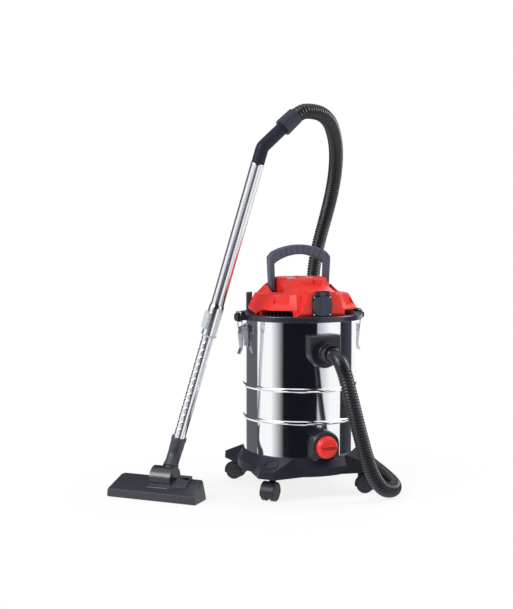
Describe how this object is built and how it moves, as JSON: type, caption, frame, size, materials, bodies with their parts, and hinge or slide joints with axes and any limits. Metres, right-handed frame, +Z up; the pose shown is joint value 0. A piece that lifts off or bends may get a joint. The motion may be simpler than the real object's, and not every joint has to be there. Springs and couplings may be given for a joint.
{
  "type": "shop vacuum",
  "caption": "Wet and dry shop vacuum: steel drum on casters, faceted motor head with latches, ribbed hose, telescopic tube and tilting floor nozzle.",
  "frame": {"origin": "on the floor under the drum's axis", "axes": "+Z up along the drum's axis, -Y towards the hose inlet, drain and tool socket, floor nozzle standing on the -X side"},
  "size_m": [0.8114, 0.5535, 1.0403],
  "materials": {
    "stainless": "mirror polished stainless sheet",
    "chrome_tube": "chromed steel tube",
    "zinc_steel": "zinc plated pressed steel",
    "charcoal_plastic": "charcoal moulded plastic, fine texture",
    "red_plastic": "satin red moulded plastic",
    "black_plastic": "black moulded plastic",
    "hose_plastic": "black ribbed vinyl",
    "grey_plastic": "light grey moulded plastic",
    "pale_panel": "pale clear-coated panel",
    "rubber": "black rubber",
    "brass_pin": "brass",
    "motor_metal": "motor stator and casing",
    "filter_paper": "pleated filter paper",
    "white_plastic": "white moulded plastic",
    "bristle": "brush bristle bar"
  },
  "bodies": {
    "machine": {"drum": "stainless", "base_dolly": "charcoal_plastic", "inlet_flange": "charcoal_plastic", "hose_cuff_inlet": "charcoal_plastic", "drain_boss": "charcoal_plastic", "latch_bracket_right": "zinc_steel", "latch_bracket_left": "zinc_steel", "latch_pins": "zinc_steel", "latch_rivets": "zinc_steel", "head_ring": "charcoal_plastic", "latch_lugs": "charcoal_plastic", "drum_seal": "rubber", "motor_cover": "red_plastic", "vent_grille": "black_plastic", "carry_handle": "black_plastic", "cord_hooks": "charcoal_plastic", "cord_gland": "rubber", "socket_plate": "black_plastic", "socket_core": "black_plastic", "socket_pin": "brass_pin", "socket_screws": "zinc_steel", "switch_panel": "pale_panel", "fan_housing": "zinc_steel", "motor_body": "motor_metal", "motor_mount": "rubber", "filter_cage": "black_plastic", "filter_cartridge": "filter_paper", "filter_retainer": "black_plastic", "hose": "hose_plastic", "hose_cuff_handle": "black_plastic", "bent_handle": "black_plastic", "upper_tube": "chrome_tube", "lock_collar": "grey_plastic"},
    "caster_front_left": {"caster_hood_front_left": "charcoal_plastic"},
    "wheels_front_left": {"caster_wheels_front_left": "black_plastic"},
    "caster_front_right": {"caster_hood_front_right": "charcoal_plastic"},
    "wheels_front_right": {"caster_wheels_front_right": "black_plastic"},
    "caster_rear_right": {"caster_hood_rear_right": "charcoal_plastic"},
    "wheels_rear_right": {"caster_wheels_rear_right": "black_plastic"},
    "caster_rear_left": {"caster_hood_rear_left": "charcoal_plastic"},
    "wheels_rear_left": {"caster_wheels_rear_left": "black_plastic"},
    "lever_right": {"latch_lever_right": "zinc_steel"},
    "bail_right": {"latch_bail_right": "zinc_steel"},
    "lever_left": {"latch_lever_left": "zinc_steel"},
    "bail_left": {"latch_bail_left": "zinc_steel"},
    "cap": {"drain_cap": "red_plastic"},
    "lid": {"socket_lid": "black_plastic"},
    "rocker": {"power_switch": "red_plastic"},
    "impeller": {"fan_impeller": "motor_metal"},
    "float": {"float_ball": "white_plastic"},
    "button": {"lock_button": "grey_plastic"},
    "lower": {"lower_tube": "chrome_tube", "nozzle_neck": "charcoal_plastic"},
    "barrel": {"tilt_barrel": "charcoal_plastic"},
    "nozzle": {"nozzle_cover": "charcoal_plastic", "sole_plate": "charcoal_plastic"},
    "pedal": {"nozzle_pedal": "charcoal_plastic"},
    "brush": {"brush_strip": "bristle"},
    "rollers": {"nozzle_rollers": "black_plastic"}
  },
  "joints": [
    {"name": "caster_swivel_front_left", "type": "hinge", "parent": "machine", "child": "caster_front_left", "pos_m": [-0.12869, -0.12869, 0.05], "axis": [0, 0, 1], "continuous": true},
    {"name": "wheel_spin_front_left", "type": "hinge", "parent": "caster_front_left", "child": "wheels_front_left", "pos_m": [-0.14001, -0.14001, 0.024], "axis": [0.7071, -0.7071, 0], "continuous": true},
    {"name": "caster_swivel_front_right", "type": "hinge", "parent": "machine", "child": "caster_front_right", "pos_m": [0.12869, -0.12869, 0.05], "axis": [0, 0, 1], "continuous": true},
    {"name": "wheel_spin_front_right", "type": "hinge", "parent": "caster_front_right", "child": "wheels_front_right", "pos_m": [0.14001, -0.14001, 0.024], "axis": [0.7071, 0.7071, 0], "continuous": true},
    {"name": "caster_swivel_rear_right", "type": "hinge", "parent": "machine", "child": "caster_rear_right", "pos_m": [0.12869, 0.12869, 0.05], "axis": [0, 0, 1], "continuous": true},
    {"name": "wheel_spin_rear_right", "type": "hinge", "parent": "caster_rear_right", "child": "wheels_rear_right", "pos_m": [0.14001, 0.14001, 0.024], "axis": [-0.7071, 0.7071, 0], "continuous": true},
    {"name": "caster_swivel_rear_left", "type": "hinge", "parent": "machine", "child": "caster_rear_left", "pos_m": [-0.12869, 0.12869, 0.05], "axis": [0, 0, 1], "continuous": true},
    {"name": "wheel_spin_rear_left", "type": "hinge", "parent": "caster_rear_left", "child": "wheels_rear_left", "pos_m": [-0.14001, 0.14001, 0.024], "axis": [-0.7071, -0.7071, 0], "continuous": true},
    {"name": "latch_lever_right", "type": "hinge", "parent": "machine", "child": "lever_right", "pos_m": [0.168, 0, 0.444], "axis": [0, -1, 0], "range_deg": [0, 110]},
    {"name": "latch_bail_right", "type": "hinge", "parent": "lever_right", "child": "bail_right", "pos_m": [0.172, 0, 0.431], "axis": [0, -1, 0], "range_deg": [-145, 0]},
    {"name": "latch_lever_left", "type": "hinge", "parent": "machine", "child": "lever_left", "pos_m": [-0.168, 0, 0.444], "axis": [0, 1, 0], "range_deg": [0, 110]},
    {"name": "latch_bail_left", "type": "hinge", "parent": "lever_left", "child": "bail_left", "pos_m": [-0.172, 0, 0.431], "axis": [0, 1, 0], "range_deg": [-145, 0]},
    {"name": "drain_cap_turn", "type": "hinge", "parent": "machine", "child": "cap", "pos_m": [0, -0.18, 0.1425], "axis": [0, -1, 0], "range_deg": [0, 90]},
    {"name": "socket_lid_hinge", "type": "hinge", "parent": "machine", "child": "lid", "pos_m": [-0.003, -0.1665, 0.545], "axis": [-1, 0, 0], "range_deg": [0, 100], "stiffness_Nm_per_rad": 0.012, "springref_deg": -28.65},
    {"name": "power_switch_rock", "type": "hinge", "parent": "machine", "child": "rocker", "pos_m": [-0.02, -0.052, 0.578], "axis": [0, -1, 0], "range_deg": [0, 16]},
    {"name": "impeller_spin", "type": "hinge", "parent": "machine", "child": "impeller", "pos_m": [0, 0, 0.5], "axis": [0, 0, 1], "continuous": true},
    {"name": "float_rise", "type": "slide", "parent": "machine", "child": "float", "axis": [0, 0, 1], "range_m": [0, 0.037]},
    {"name": "lock_button_slide", "type": "slide", "parent": "machine", "child": "button", "axis": [-0.2099, 0.2324, -0.9497], "range_m": [0, 0.007], "stiffness_N_per_m": 300, "springref_m": -0.003},
    {"name": "tube_slide", "type": "slide", "parent": "machine", "child": "lower", "axis": [0.2099, -0.2324, 0.9497], "range_m": [0, 0.22]},
    {"name": "nozzle_swivel", "type": "hinge", "parent": "lower", "child": "barrel", "pos_m": [-0.38079, 0.00927, 0.04638], "axis": [0.4294, 0.4783, 0.766], "continuous": true},
    {"name": "nozzle_tilt", "type": "hinge", "parent": "barrel", "child": "nozzle", "pos_m": [-0.38079, 0.00927, 0.04638], "axis": [0.7441, -0.6681, 0], "range_deg": [-4, 38]},
    {"name": "nozzle_pedal", "type": "hinge", "parent": "nozzle", "child": "pedal", "pos_m": [-0.3636, -0.05347, 0.031], "axis": [-0.7441, 0.6681, 0], "range_deg": [0, 14]},
    {"name": "brush_drop", "type": "slide", "parent": "nozzle", "child": "brush", "axis": [0, 0, -1], "range_m": [0, 0.0035]},
    {"name": "roller_spin", "type": "hinge", "parent": "nozzle", "child": "rollers", "pos_m": [-0.37871, 0.02998, 0.008], "axis": [0.7441, -0.6681, 0], "continuous": true}
  ],
  "couplings": [
    {"joint": "latch_bail_right", "follows": "latch_lever_right", "ratio": -1.3},
    {"joint": "latch_bail_left", "follows": "latch_lever_left", "ratio": -1.3},
    {"joint": "brush_drop", "follows": "nozzle_pedal", "m_per_rad": 0.013915}
  ]
}
